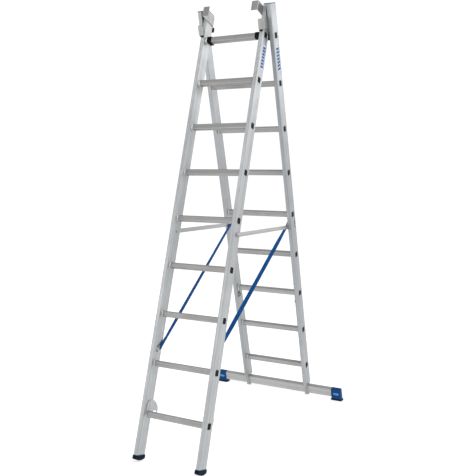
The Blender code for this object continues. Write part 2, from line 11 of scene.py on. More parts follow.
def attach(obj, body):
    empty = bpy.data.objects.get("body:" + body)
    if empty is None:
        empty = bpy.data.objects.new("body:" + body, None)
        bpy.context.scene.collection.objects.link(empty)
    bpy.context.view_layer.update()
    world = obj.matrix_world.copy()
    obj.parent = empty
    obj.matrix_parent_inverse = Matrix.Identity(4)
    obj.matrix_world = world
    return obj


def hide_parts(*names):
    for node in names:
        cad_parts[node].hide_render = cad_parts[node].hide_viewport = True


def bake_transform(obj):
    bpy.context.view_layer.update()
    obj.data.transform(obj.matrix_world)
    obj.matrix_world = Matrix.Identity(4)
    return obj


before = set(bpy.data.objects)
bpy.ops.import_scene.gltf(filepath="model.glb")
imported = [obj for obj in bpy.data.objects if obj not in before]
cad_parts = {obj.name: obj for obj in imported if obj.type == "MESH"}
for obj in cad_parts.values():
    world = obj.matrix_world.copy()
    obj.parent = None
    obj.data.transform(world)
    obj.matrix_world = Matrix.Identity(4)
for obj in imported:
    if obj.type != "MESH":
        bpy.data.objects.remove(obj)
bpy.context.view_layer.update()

# ---------------------------------------------------------- the two sections' own frames
# Each section is described upright and then leaned into its place: x runs across, w through its
# depth towards the back, s up along its stiles. Everything is in metres.
FRONT_LEAN = math.radians(16.80)
REAR_LEAN = math.radians(15.66)
FRONT_Y, REAR_Y = -0.725425, 0.73742
FRONT = Matrix.Translation((0.0, FRONT_Y, 0.0)) @ Matrix.Rotation(-FRONT_LEAN, 4, "X")
REAR = Matrix.Translation((0.0, REAR_Y, 0.0)) @ Matrix.Rotation(REAR_LEAN, 4, "X")

RUNGS, PITCH = 9, 0.280
F1, R1 = 0.254, 0.250              # s of the lowest rung, front and rear
F9, R9 = F1 + (RUNGS - 1) * PITCH, R1 + (RUNGS - 1) * PITCH
F_IN, F_OUT = 0.1854, 0.2094       # x of a front stile's inner and outer face
R_IN, R_OUT = 0.2187, 0.2447       # and of a rear stile's
HALF_DEPTH = 0.0385                # half of a stile's wide face
WALL, STILE_CORNER = 0.0020, 0.0030
F_START, R_START = 0.0180, 0.0898  # s where the profiles begin
TOP_RUN, CAP_SEAT = 0.185, 0.0045  # stile above rung 9, less what its cap covers
RUNG_HALF, RUNG_CORNER = 0.0165, 0.0060
SINK = 0.0002                      # how far a stuck-on piece reaches under its face

# ---------------------------------------------------------- camera
AZIMUTH, LOOK_DOWN, ROLL = 0.467324, 0.094115, 0.008849  # radians
CAMERA_PLACE = (1.87053, -3.56327, 1.57015)
LENS_MM, SENSOR_MM = 49.416, 36.0
SHIFT = (-0.01113, -0.00252)

forward = Vector((-math.sin(AZIMUTH) * math.cos(LOOK_DOWN),
                  math.cos(AZIMUTH) * math.cos(LOOK_DOWN), -math.sin(LOOK_DOWN)))
level = Vector((math.cos(AZIMUTH), math.sin(AZIMUTH), 0.0))
upright = level.cross(forward)
right = level * math.cos(ROLL) + upright * math.sin(ROLL)
up = upright * math.cos(ROLL) - level * math.sin(ROLL)
camera = bpy.data.objects.new("camera", bpy.data.cameras.new("camera"))
bpy.context.scene.collection.objects.link(camera)
camera.matrix_world = (Matrix.Translation(CAMERA_PLACE)
                       @ Matrix((right, up, -forward)).transposed().to_4x4())
camera.data.sensor_width = SENSOR_MM
camera.data.lens = LENS_MM
camera.data.shift_x, camera.data.shift_y = SHIFT
camera.data.clip_end = 60.0
bpy.context.scene.camera = camera
bpy.context.scene.view_settings.view_transform = "Standard"


# ---------------------------------------------------------- materials
class Nodes:
    """Small helper round one material's node tree."""

    def __init__(self, name):
        self.material = bpy.data.materials.new(name)
        self.material.use_nodes = True
        self.tree = self.material.node_tree
        self.shader = self.tree.nodes["Principled BSDF"]

    def node(self, kind, **settings):
        made = self.tree.nodes.new(kind)
        for key, value in settings.items():
            setattr(made, key, value)
        return made

    def link(self, source, target):
        self.tree.links.new(source, target)

    def coords(self, lean=0.0, scale=(1.0, 1.0, 1.0), uv=False):
        """Object (or UV) coordinates, turned into a section's own axes and then stretched."""
        source = self.node("ShaderNodeTexCoord").outputs["UV" if uv else "Object"]
        turn = self.node("ShaderNodeMapping")
        turn.inputs["Rotation"].default_value = (lean, 0.0, 0.0)
        self.link(source, turn.inputs["Vector"])
        stretch = self.node("ShaderNodeMapping")
        stretch.inputs["Scale"].default_value = scale
        self.link(turn.outputs["Vector"], stretch.inputs["Vector"])
        return stretch.outputs["Vector"]

    def noise(self, vector, scale=1.0, detail=3.0, roughness=0.55):
        made = self.node("ShaderNodeTexNoise")
        made.inputs["Scale"].default_value = scale
        made.inputs["Detail"].default_value = detail
        made.inputs["Roughness"].default_value = roughness
        self.link(vector, made.inputs["Vector"])
        return made.outputs["Fac"]

    def ramp(self, value, stops):
        made = self.node("ShaderNodeValToRGB")
        elements = made.color_ramp.elements
        while len(elements) < len(stops):
            elements.new(0.5)
        for element, (position, colour) in zip(elements, stops):
            element.position = position
            element.color = (*colour, 1.0)
        self.link(value, made.inputs["Fac"])
        return made.outputs["Color"]

    def mix(self, factor, first, second, mode="MIX"):
        made = self.node("ShaderNodeMix", data_type="RGBA", blend_type=mode)
        sockets = {socket.identifier: socket for socket in made.inputs}
        for value, key in ((factor, "Factor_Float"), (first, "A_Color"), (second, "B_Color")):
            self.feed(sockets[key], value)
        return [s for s in made.outputs if s.identifier == "Result_Color"][0]

    def remap(self, value, low, high, to_low, to_high):
        made = self.node("ShaderNodeMapRange")
        made.inputs["From Min"].default_value = low
        made.inputs["From Max"].default_value = high
        made.inputs["To Min"].default_value = to_low
        made.inputs["To Max"].default_value = to_high
        self.link(value, made.inputs["Value"])
        return made.outputs["Result"]

    def math(self, operation, *values):
        made = self.node("ShaderNodeMath", operation=operation)
        for socket, value in zip(made.inputs, values):
            self.feed(socket, value)
        return made.outputs["Value"]

    def bump(self, height, strength, distance):
        made = self.node("ShaderNodeBump")
        made.inputs["Strength"].default_value = strength
        made.inputs["Distance"].default_value = distance
        self.link(height, made.inputs["Height"])
        return made.outputs["Normal"]

    def feed(self, socket, value):
        """A number or colour is set on the socket itself; anything else is linked to it."""
        if isinstance(value, (int, float)):
            socket.default_value = value
        elif isinstance(value, tuple):
            socket.default_value = (*value, 1.0)
        else:
            self.link(value, socket)

    def set(self, **values):
        for key, value in values.items():
            self.feed(self.shader.inputs[key.replace("_", " ")], value)


DIE_LINES, DIE_BANDS = (520.0, 2.2), (120.0, 0.9)  # noise per metre across and along a profile
SMOOTH, ROUGH = 0.32, 0.48
HANDLED, CLEAN = (0.62, 0.64, 0.66), (1.0, 1.0, 1.0)


def aluminium(name, light, dark, lean=0.0, along="s"):
    """Mill-finish extrusion: die lines run along the profile, with faint cloudy handling marks."""

    def stretch(across, run):
        return (across, across, run) if along == "s" else (run, across, across)

    n = Nodes(name)
    lines = n.noise(n.coords(lean, stretch(*DIE_LINES)), 1.0, 4.0, 0.7)
    bands = n.noise(n.coords(lean, stretch(*DIE_BANDS)), 1.0, 2.0, 0.5)
    cloud = n.noise(n.coords(lean), 9.0, 5.0, 0.6)
    tone = n.mix(n.remap(bands, 0.35, 0.65, 0.0, 1.0), dark, light)
    tone = n.mix(0.35, tone, n.ramp(lines, [(0.3, dark), (0.7, light)]))
    tone = n.mix(0.16, tone, n.ramp(cloud, [(0.35, HANDLED), (0.6, CLEAN)]), "MULTIPLY")
    sheen = n.mix(0.5, n.remap(lines, 0.3, 0.7, SMOOTH, ROUGH),
                  n.remap(cloud, 0.35, 0.65, ROUGH, SMOOTH))
    n.set(Base_Color=tone, Roughness=sheen, Metallic=0.75, Normal=n.bump(lines, 0.25, 0.0002))
    return n.material


def moulded(name, colour, edge, rough=0.45, grain=900.0, depth=0.0001):
    """Moulded plastic or rubber with a fine grain, uneven sheen and a little scuffing."""
    n = Nodes(name)
    plain = n.coords()
    grains = n.noise(plain, grain, 2.0, 0.5)
    scuff = n.noise(plain, 38.0, 6.0, 0.7)
    cloud = n.noise(plain, 7.0, 3.0, 0.5)
    tone = n.mix(n.remap(cloud, 0.3, 0.7, 0.0, 0.35), colour, edge)
    tone = n.mix(n.remap(scuff, 0.62, 0.78, 0.0, 0.5), tone, edge)
    n.set(Base_Color=tone, Roughness=n.remap(scuff, 0.3, 0.7, rough - 0.08, rough + 0.12),
          Metallic=0.0, Normal=n.bump(grains, 0.35, depth), Specular_IOR_Level=0.10)
    return n.material


def metal(name, colour, dark, rough=0.35):
    """Plated or turned metal with small dull spots."""
    n = Nodes(name)
    plain = n.coords()
    spots = n.noise(plain, 160.0, 5.0, 0.65)
    cloud = n.noise(plain, 30.0, 3.0, 0.5)
    tone = n.mix(n.remap(spots, 0.35, 0.7, 0.0, 1.0), colour, dark)
    n.set(Base_Color=tone, Roughness=n.remap(cloud, 0.3, 0.7, rough - 0.08, rough + 0.14),
          Metallic=0.9, Normal=n.bump(spots, 0.2, 0.00008))
    return n.material


ZIG, WEFT, WARP = 0.0031, 0.0019, 0.0016  # a herringbone's half width and its yarns' spacings


def webbing(name, colour, dark):
    """Woven band: a herringbone of fat yarns, laid out by the band's own lengths."""
    n = Nodes(name)
    lengths = n.coords(uv=True)
    split = n.node("ShaderNodeSeparateXYZ")
    n.link(lengths, split.inputs["Vector"])
    length, width = split.outputs["X"], split.outputs["Y"]
    zig = n.math("PINGPONG", width, ZIG)
    slant = n.math("ADD", length, n.math("MULTIPLY", zig, 1.3))
    weft = n.math("SINE", n.math("MULTIPLY", slant, 2.0 * math.pi / WEFT))
    warp = n.math("SINE", n.math("MULTIPLY", width, 2.0 * math.pi / WARP))
    weave = n.math("ADD", n.math("MULTIPLY", weft, 0.5), n.math("MULTIPLY", warp, 0.35))
    fuzz = n.noise(lengths, 1400.0, 3.0, 0.7)
    fade = n.noise(lengths, 22.0, 4.0, 0.6)
    height = n.math("ADD", weave, n.math("MULTIPLY", fuzz, 0.5))
    tone = n.mix(n.remap(height, -0.6, 0.9, 0.0, 1.0), dark, colour)
    lighter = tuple(min(1.0, v * 1.5 + 0.01) for v in colour)
    tone = n.mix(n.remap(fade, 0.4, 0.75, 0.0, 0.35), tone, lighter)
    n.set(Base_Color=tone, Roughness=n.remap(fuzz, 0.3, 0.7, 0.72, 0.92), Metallic=0.0,
          Normal=n.bump(height, 0.55, 0.00025), Sheen_Weight=0.03, Sheen_Roughness=0.5,
          Specular_IOR_Level=0.08)
    return n.material


def printed_label(name, colour):
    """Printed film with a slight mottle."""
    n = Nodes(name)
    paper = n.noise(n.coords(), 60.0, 4.0, 0.6)
    paler = tuple(min(1.0, v * 1.25 + 0.03) for v in colour)
    tone = n.mix(n.remap(paper, 0.35, 0.7, 0.0, 0.35), colour, paler)
    n.set(Base_Color=tone, Roughness=n.remap(paper, 0.3, 0.7, 0.32, 0.46), Metallic=0.0,
          Normal=n.bump(paper, 0.15, 0.00005), Specular_IOR_Level=0.15)
    return n.material


# Front and rear stiles are lit and shaded copies of one aluminium: the darker rear copy is painted
# shade.
STILE_F = aluminium("alu_stile_front", (0.500, 0.513, 0.521), (0.330, 0.341, 0.350), FRONT_LEAN)
STILE_R_SHADED = aluminium("alu_stile_rear_shaded", (0.435, 0.448, 0.461), (0.285, 0.297, 0.310), -REAR_LEAN)
# The rungs take darker copies of the aluminium than the front stiles, and the front rungs are
# darker than the rear ones: painted shade standing in for their shaded undersides.
RUNG_F_SHADED = aluminium("alu_rung", (0.410, 0.406, 0.399), (0.268, 0.266, 0.262), along="x")
RUNG_R_SHADED = aluminium("alu_rung_rear", (0.438, 0.436, 0.430), (0.290, 0.289, 0.287), along="x")
# The collars take a lighter copy of the aluminium: a painted highlight, which also lifts the shade
# where each rung meets its stile.
FLARE_LIT = aluminium("alu_flare_painted_highlight", (0.60, 0.60, 0.60), (0.47, 0.475, 0.48), along="x")
BAR = aluminium("alu_cross_bar", (0.475, 0.475, 0.475), (0.35, 0.35, 0.355), along="x")
SPREADER = aluminium("alu_spreader", (0.50, 0.50, 0.50), (0.37, 0.37, 0.375), math.radians(90.4))
SHEET_F = aluminium("alu_fitting_front", (0.38, 0.378, 0.372), (0.27, 0.27, 0.268), FRONT_LEAN)
SHEET_R = aluminium("alu_fitting_rear", (0.38, 0.378, 0.372), (0.27, 0.27, 0.268), -REAR_LEAN)
RIVET = metal("alu_rivet", (0.50, 0.51, 0.52), (0.30, 0.31, 0.33), 0.36)
STEEL = metal("zinc_steel", (0.40, 0.41, 0.42), (0.24, 0.25, 0.26), 0.34)
RING_STEEL = metal("ring_steel", (0.62, 0.64, 0.68), (0.42, 0.44, 0.48), 0.40)
DARK_STEEL = metal("dark_steel", (0.20, 0.21, 0.23), (0.06, 0.065, 0.075), 0.30)
BLACK = moulded("black_plastic", (0.002, 0.002, 0.0024), (0.012, 0.012, 0.013), 0.55)
SOLE = moulded("black_rubber", (0.006, 0.006, 0.007), (0.028, 0.028, 0.030), 0.72, 1200.0, 0.0002)
NAVY = moulded("navy_rubber", (0.0012, 0.003, 0.010), (0.003, 0.008, 0.026), 0.6, 1000.0)
BLUE = moulded("blue_plastic", (0.0, 0.046, 0.160), (0.001, 0.063, 0.205), 0.42)
RIM_BLUE = moulded("rim_blue_plastic", (0.035, 0.115, 0.290), (0.070, 0.180, 0.380))
PALE_BLUE = moulded("pale_blue_plastic", (0.200, 0.360, 0.580), (0.300, 0.450, 0.640))
CAP_BLUE = moulded("cap_blue", (0.001, 0.042, 0.150), (0.004, 0.062, 0.210))
WEBBING = webbing("blue_webbing", (0.001, 0.068, 0.245), (0.0005, 0.026, 0.100))
THREAD = webbing("navy_thread", (0.002, 0.035, 0.150), (0.001, 0.014, 0.060))
LABEL_PALE = printed_label("label_pale", (0.56, 0.62, 0.70))
LABEL_BLUE = printed_label("label_blue", (0.0, 0.048, 0.190))
LABEL_GREY = printed_label("label_grey", (0.030, 0.035, 0.050))


# ---------------------------------------------------------- modelling helpers
ACROSS = Matrix(((0, 0, 1, 0), (1, 0, 0, 0), (0, 1, 0, 0), (0, 0, 0, 1)))  # (w, s, x) to (x, w, s)


def arc(cx, cy, radius, start, stop, steps):
    """Points on a circle from one angle to another, in degrees."""
    points = []
    for i in range(steps + 1):
        angle = math.radians(start + (stop - start) * i / steps)
        points.append((cx + radius * math.cos(angle), cy + radius * math.sin(angle)))
    return points


def rounded(u0, u1, v0, v1, radius, steps=4):
    """Rectangle with round corners."""
    points = arc(u1 - radius, v1 - radius, radius, 0, 90, steps)
    points += arc(u0 + radius, v1 - radius, radius, 90, 180, steps)
    points += arc(u0 + radius, v0 + radius, radius, 180, 270, steps)
    points += arc(u1 - radius, v0 + radius, radius, 270, 360, steps)
    return points


def as_mesh(bm, name):
    """Turns every face outwards and hands the finished mesh over."""
    bmesh.ops.recalc_face_normals(bm, faces=bm.faces)
    mesh = bpy.data.meshes.new(name)
    bm.to_mesh(mesh)
    bm.free()
    return mesh


def outline(loops, low, high, across=False):
    """Mesh from closed outlines (first outside, rest holes), run from low to high."""
    curve = bpy.data.curves.new("outline", "CURVE")
    curve.dimensions = "2D"
    curve.fill_mode = "BOTH"
    curve.extrude = (high - low) / 2.0
    for loop in loops:
        spline = curve.splines.new("POLY")
        spline.points.add(len(loop) - 1)
        for point, (u, v) in zip(spline.points, loop):
            point.co = (u, v, 0.0, 1.0)
        spline.use_cyclic_u = True
    temp = bpy.data.objects.new("outline", curve)
    bpy.context.scene.collection.objects.link(temp)
    bpy.context.view_layer.update()
    depsgraph = bpy.context.evaluated_depsgraph_get()
    mesh = bpy.data.meshes.new_from_object(temp.evaluated_get(depsgraph))
    bpy.data.objects.remove(temp, do_unlink=True)
    bpy.data.curves.remove(curve)
    mesh.transform(Matrix.Translation((0.0, 0.0, (low + high) / 2.0)))
    if across:
        mesh.transform(ACROSS)
    bm = bmesh.new()
    bm.from_mesh(mesh)
    bmesh.ops.remove_doubles(bm, verts=bm.verts, dist=2e-6)
    bmesh.ops.recalc_face_normals(bm, faces=bm.faces)
    bm.to_mesh(mesh)
    bm.free()
    return mesh


def lofted(rings):
    """Skin over rings of equal point count, with its ends filled."""
    bm = bmesh.new()
    rows = [[bm.verts.new(p) for p in ring] for ring in rings]
    count = len(rings[0])
    for one, two in zip(rows, rows[1:]):
        for i in range(count):
            bm.faces.new((one[i], one[(i + 1) % count], two[(i + 1) % count], two[i]))
    bm.faces.new(list(reversed(rows[0])))
    bm.faces.new(rows[-1])
    return as_mesh(bm, "loft")


def tube(points, radius, sides=10):
    """Round wire along a closed run of points in a plane of constant x."""
    bm = bmesh.new()
    rows = []
    for i, point in enumerate(points):
        ahead = Vector(points[(i + 1) % len(points)])
        heading = (ahead - Vector(points[i - 1])).normalized()
        across = Vector((1.0, 0.0, 0.0))
        other = heading.cross(across).normalized()
        angles = [2.0 * math.pi * k / sides for k in range(sides)]
        rows.append([bm.verts.new(Vector(point) + radius * (math.cos(t) * across
                                                            + math.sin(t) * other))
                     for t in angles])
    for one, two in zip(rows, rows[1:] + rows[:1]):
        for k in range(sides):
            bm.faces.new((one[k], one[(k + 1) % sides], two[(k + 1) % sides], two[k]))
    return as_mesh(bm, "tube")


def merged(meshes):
    bm = bmesh.new()
    for mesh in meshes:
        bm.from_mesh(mesh)
    made = bpy.data.meshes.new("merged")
    bm.to_mesh(made)
    bm.free()
    return made


def mirrored(mesh):
    made = mesh.copy()
    made.transform(Matrix.Scale(-1.0, 4, (1.0, 0.0, 0.0)))
    made.flip_normals()
    return made


def piece(name, mesh, place, body, material, bevel=0.0, nodes=(), angle=32.0):
    """One shown piece: placed, shaded, with softened edges, riding on its body."""
    mesh.transform(place)
    mesh.name = name
    made = bpy.data.objects.new(name, mesh)
    bpy.context.scene.collection.objects.link(made)
    mesh.materials.clear()
    mesh.materials.append(material)
    mesh.shade_smooth()
    mesh.set_sharp_from_angle(angle=math.radians(angle))
    if bevel:
        softened = made.modifiers.new("Bevel", "BEVEL")
        softened.width = bevel
        softened.segments = 2
        softened.limit_method = "ANGLE"
        softened.angle_limit = math.radians(40)
        softened.harden_normals = True
    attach(made, body)
    if nodes:
        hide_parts(*nodes)


def both(name, mesh, place, body, material, bevel=0.0, node=""):
    """A right-hand piece and its mirrored left-hand twin."""
    twin = mirrored(mesh)
    for side, one in (("right", mesh), ("left", twin)):
        hidden = ["%s_%s" % (node, side)] if node else []
        piece("%s_%s" % (name, side), one, place, body, material, bevel, hidden)


DOME = ((0.0, 1.0), (0.45, 0.97), (0.75, 0.82), (0.93, 0.52), (1.0, 0.2))  # rise, radius
DOME_SIDES = 18


def rivet(x, w, s, radius, height, direction):
    """Domed head on a face whose outward side is direction (+1 or -1 along x)."""
    rings = []
    for rise, share in DOME:
        rings.append([(x + direction * (rise * height - SINK), w + radius * share * math.cos(t),
                       s + radius * share * math.sin(t))
                      for t in (2.0 * math.pi * i / DOME_SIDES for i in range(DOME_SIDES))])
    return lofted(rings)


def paint(node, material):
    """Gives a CAD node its finished material."""
    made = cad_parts[node]
    made.data.materials.clear()
    made.data.materials.append(material)


# ---------------------------------------------------------- stiles
FLUTE = (0.0011, 0.0005)    # a groove's half width and depth
HAIRLINE = (0.0006, 0.0004)
EDGE_FLUTE, FACE_LINE = 0.0305, 0.0262  # w of the grooves down the wide faces
GRIP_SPACING = 0.0042


def stile_outline(inner, outer):
    """Box profile with grooves down its wide faces and grip flutes on its narrow ones."""
    half, r = HALF_DEPTH, STILE_CORNER
    loop = []

    def side(fixed, step, grooves, horizontal, inward):
        """One straight side's grooves; step is +1 or -1, the way the outline runs there."""
        for centre, width, depth in sorted(grooves, key=lambda g: g[0] * step):
            for offset, sink in ((-width, 0.0), (-width * 0.45, depth), (width * 0.45, depth),
                                 (width, 0.0)):
                along = centre + step * offset
                off = fixed + inward * sink
                loop.append((along, off) if horizontal else (off, along))

    plain_face = [(-EDGE_FLUTE, *FLUTE), (EDGE_FLUTE, *FLUTE)]
    lined_face = plain_face + [(-FACE_LINE, *HAIRLINE), (FACE_LINE, *HAIRLINE)]
    middle = (inner + outer) / 2.0
    grips = [(middle + k * GRIP_SPACING, *FLUTE) for k in (-1.0, 0.0, 1.0)]
    loop += arc(outer - r, half - r, r, 0, 90, 4)
    side(half, -1.0, grips, True, -1.0)
    loop += arc(inner + r, half - r, r, 90, 180, 4)
    side(inner, -1.0, plain_face, False, 1.0)
    loop += arc(inner + r, -half + r, r, 180, 270, 4)
    side(-half, 1.0, grips, True, 1.0)
    loop += arc(outer - r, -half + r, r, 270, 360, 4)
    side(outer, 1.0, lined_face, False, -1.0)
    return loop


def stiles(name, inner, outer, start, stop, place, body, material):
    hollow = rounded(inner + WALL, outer - WALL, -HALF_DEPTH + WALL, HALF_DEPTH - WALL, 0.001, 2)
    mesh = outline([stile_outline(inner, outer), hollow], start, stop)
    both("profile_" + name, mesh, place, body, material, node=name)


stiles("front_stile", F_IN, F_OUT, F_START, F9 + TOP_RUN - CAP_SEAT, FRONT, "front_section",
       STILE_F)
stiles("rear_stile", R_IN, R_OUT, R_START, R9 + TOP_RUN - CAP_SEAT, REAR, "rear_section",
       STILE_R_SHADED)


# ---------------------------------------------------------- rungs, flares and end plugs
RUNG_GROOVES = 4            # on each face, which leaves five ribs between them
RUNG_GROOVE = ((0.0016, 0.0), (0.0008, 0.0006), (-0.0008, 0.0006), (-0.0016, 0.0))
RUNG_END = 0.0004           # a rung ends this far inside the stile's outer face
# Collars and plugs are stepped square rings: half size, corner radius, how far off the face.
FLARE_STEPS = ((0.0167, 0.0062, 0.0052), (0.0172, 0.0066, 0.0034), (0.0188, 0.0078, 0.0014),
               (0.0196, 0.0084, 0.0008), (0.0196, 0.0084, -SINK))
PLUG_STEPS = ((0.0170, 0.0058, -0.0010), (0.0170, 0.0058, 0.0004), (0.0164, 0.0054, 0.0009),
              (0.0136, 0.0040, 0.0009), (0.0128, 0.0034, 0.0003))


def rung_outline(centre):
    """Square tube with rounded ribs pressed along each of its faces."""
    flat = RUNG_HALF - RUNG_CORNER
    loop = []
    for quarter in range(4):
        side = arc(flat, flat, RUNG_CORNER, 0, 90, 5)
        for i in range(RUNG_GROOVES):
            middle = flat - 2.0 * flat * (i + 0.5) / RUNG_GROOVES
            side += [(middle + offset, RUNG_HALF - sink) for offset, sink in RUNG_GROOVE]
        turn = Matrix.Rotation(math.radians(90 * quarter), 2)
        loop += [tuple(turn @ Vector(p)) for p in side]
    return [(w, centre + s) for w, s in loop]


def make_rungs(prefix, first, half_width, place, body, material):
    for i in range(RUNGS):
        node = "%s_rung_%d" % (prefix, i + 1)
        mesh = outline([rung_outline(first + PITCH * i)], -half_width, half_width, across=True)
        piece("ribbed_" + node, mesh, place, body, material, nodes=[node],
              angle=28.0)


def square_ring(centre, half, r, x):
    return [(x, w, s) for w, s in rounded(-half, half, centre - half, centre + half, r, 4)]


def at_rungs(name, first, face, direction, steps, place, body, material):
    """The same stepped collar or plug on one face of both stiles, at every rung."""
    meshes = []
    for i in range(RUNGS):
        centre = first + PITCH * i
        meshes.append(lofted([square_ring(centre, half, r, face + direction * out)
                              for half, r, out in steps]))
    both(name, merged(meshes), place, body, material)


make_rungs("front", F1, F_OUT - RUNG_END, FRONT, "front_section", RUNG_F_SHADED)
make_rungs("rear", R1, R_OUT - RUNG_END, REAR, "rear_section", RUNG_R_SHADED)
# A swaged collar where each rung meets the inner face, in aluminium painted lighter as a
# highlight, and a dished black plug in its outer end.
at_rungs("front_rung_flares", F1, F_IN, -1.0, FLARE_STEPS, FRONT, "front_section", FLARE_LIT)
at_rungs("rear_rung_flares", R1, R_IN, -1.0, FLARE_STEPS, REAR, "rear_section", FLARE_LIT)
at_rungs("front_rung_plugs", F1, F_OUT, 1.0, PLUG_STEPS, FRONT, "front_section", BLACK)
at_rungs("rear_rung_plugs", R1, R_OUT, 1.0, PLUG_STEPS, REAR, "rear_section", BLACK)


# ---------------------------------------------------------- front boots
BOOT_SKIN = 0.0022          # rubber outside the profile
BOOT_TOP, BOOT_CHAMFER = 0.0320, 0.0008
SOLE_RADIUS = 0.095
TREAD_STEPS, TREAD_DEPTH, TREAD_ANGLE = 22, 0.0016, 0.6
RIM_X, RIM_W, RIM_CORNER = 0.0013, 0.0015, 0.0036  # the blue rim above the boot
RIM_LOW, RIM_HIGH = 0.0316, 0.0345


def boot():
    """Rounded rubber boot with cross treads along its curved sole."""
    half = HALF_DEPTH + BOOT_SKIN
    centre = SOLE_RADIUS / math.cos(FRONT_LEAN)
    edge = math.degrees(math.asin(half / SOLE_RADIUS))
    loop = [(half, BOOT_TOP - BOOT_CHAMFER), (half - BOOT_CHAMFER, BOOT_TOP),
            (-half + BOOT_CHAMFER, BOOT_TOP), (-half, BOOT_TOP - BOOT_CHAMFER)]
    for i in range(TREAD_STEPS + 1):
        angle = 270.0 - edge + 2.0 * edge * i / TREAD_STEPS
        cut = TREAD_DEPTH if 0 < i < TREAD_STEPS and i % 2 == 0 else 0.0
        loop += arc(0.0, centre, SOLE_RADIUS - cut, angle - TREAD_ANGLE, angle + TREAD_ANGLE, 1)
    loop = [(min(max(w, -half), half), s) for w, s in loop]
    return outline([loop], F_IN - BOOT_SKIN, F_OUT + BOOT_SKIN, across=True)


both("tread_boot", boot(), FRONT, "front_section", NAVY, 0.0009, "front_foot")
rim_loop = rounded(F_IN - RIM_X, F_OUT + RIM_X, -HALF_DEPTH - RIM_W, HALF_DEPTH + RIM_W,
                   RIM_CORNER)
both("boot_rim", outline([rim_loop], RIM_LOW, RIM_HIGH), FRONT, "front_section", RIM_BLUE,
     0.0005)

# ---------------------------------------------------------- CAD nodes that keep their shape
FINISHES = (("front_top_cap", CAP_BLUE), ("rear_top_cap", CAP_BLUE), ("front_guide", SHEET_F),
            ("rear_guide", SHEET_R), ("rear_rung_sleeve", BLACK), ("rung_pad", BLACK),
            ("stop_pad", BLACK), ("rung_hook", STILE_F), ("spreader_bar", SPREADER),
            ("spreader_bracket", RING_STEEL), ("strap_ring", RING_STEEL),
            ("spreader_stud", STEEL), ("traverse_clamp", SHEET_R), ("traverse_foot", BLUE),
            ("traverse_sole", SOLE))
for side in ("left", "right"):
    for node, finish in FINISHES:
        paint("%s_%s" % (node, side), finish)
paint("traverse_bar", BAR)

# ---------------------------------------------------------- rivets and bolt heads
# One row a head: x of the face it sits on, w, s, radius, height, outward side.
GUIDE_FACE_F, HOOK_FACE = F_IN - 0.0038, F_IN - 0.0043
GUIDE_FACE_R, BRACKET_FACE = R_IN - 0.0038, R_IN - 0.0022
FRONT_RIVETS = [(GUIDE_FACE_F, w, F9 + 0.1415, 0.0038, 0.0014, -1.0) for w in (0.020, -0.022)]
FRONT_RIVETS += [(HOOK_FACE, w, F1 + s, 0.0034, 0.0012, -1.0)
                 for w, s in ((-0.0065, 0.0265), (0.034, 0.028), (-0.004, 0.064), (0.060, 0.050))]
REAR_RIVETS = [(R_OUT, 0.0, R1 + 1.060, 0.0050, 0.0018, 1.0),
               (R_OUT, 0.0, R1 + 1.311, 0.0042, 0.0014, 1.0),
               (R_OUT, 0.0, 0.150, 0.0050, 0.0018, 1.0),
               (R_IN, 0.0, 0.150, 0.0050, 0.0016, -1.0),
               (GUIDE_FACE_R, 0.012, R9 + 0.075, 0.0036, 0.0010, -1.0),
               (BRACKET_FACE, 0.006, R1 + 1.040, 0.0034, 0.0010, -1.0)]
both("front_rivets", merged([rivet(*row) for row in FRONT_RIVETS]), FRONT, "front_section",
     RIVET)
both("rear_rivets", merged([rivet(*row) for row in REAR_RIVETS]), REAR, "rear_section",
     RIVET)

# ---------------------------------------------------------- liner of the rear guides
# A plastic strip lines the guide's flange and shows as a rounded tab below it.
LINER_TAB = [(-0.1062, 0.0385), (-0.1056, 0.0372), (-0.1036, 0.0372), (-0.1030, 0.0385),
             (-0.1030, 0.1052), (-0.1034, 0.1052), (-0.1034, 0.0458), (-0.1062, 0.0458)]
LINER_X = (0.1880, 0.2100)
liner = outline([[(w, R9 + s) for w, s in LINER_TAB]], *LINER_X, across=True)
both("guide_liner", liner, REAR, "rear_section", BLACK, 0.0002)


# ---------------------------------------------------------- spare rings on the rear stiles
def spare_ring():
    """Wire ring of rounded triangle shape, hung from a domed boss on the stile's inner face."""
    x, w, s = R_IN - 0.0042, -0.013, R1 + 0.517
    half, top, drop = 0.0150, 0.010, -0.016
    path = arc(w + half, s + drop, 0.004, -90, 20, 4)
    path += arc(w, s + top, 0.0050, 30, 150, 4)
    path += arc(w - half, s + drop, 0.004, 160, 270, 4)
    ring = tube([(x, *point) for point in path], 0.0021)
    boss = rivet(R_IN, w, s + 0.006, 0.0075, 0.0058, -1.0)
    return merged([ring, boss])


both("spare_ring", spare_ring(), REAR, "rear_section", DARK_STEEL)

# ---------------------------------------------------------- cross bar seam and foot details
SEAM_HALF = 0.0022
seam_loop = rounded(-0.0163, 0.0163, 0.0292, 0.0898, 0.0037)
piece("bar_seam", outline([seam_loop], -SEAM_HALF, SEAM_HALF, across=True), REAR,
      "rear_section", RIVET)

FOOT_X = 0.4533             # middle of a foot's block
FOOT_LOW, FOOT_AHEAD = 0.0073, 0.0195  # its front face's lower edge: height, and how far ahead
FOOT_TOP = (-0.0168, 0.0903)           # and w and s of its upper edge


def foot_face(x, up_share, out):
    """Point on the front face of a cross bar foot; out stands off the face."""
    low = Vector((x, REAR_Y - FOOT_LOW * math.tan(REAR_LEAN) - FOOT_AHEAD, FOOT_LOW))
    top = REAR @ Vector((x, *FOOT_TOP))
    normal = Vector((0.0, -(top.z - low.z), top.y - low.y)).normalized()
    return low.lerp(top, up_share) + normal * out


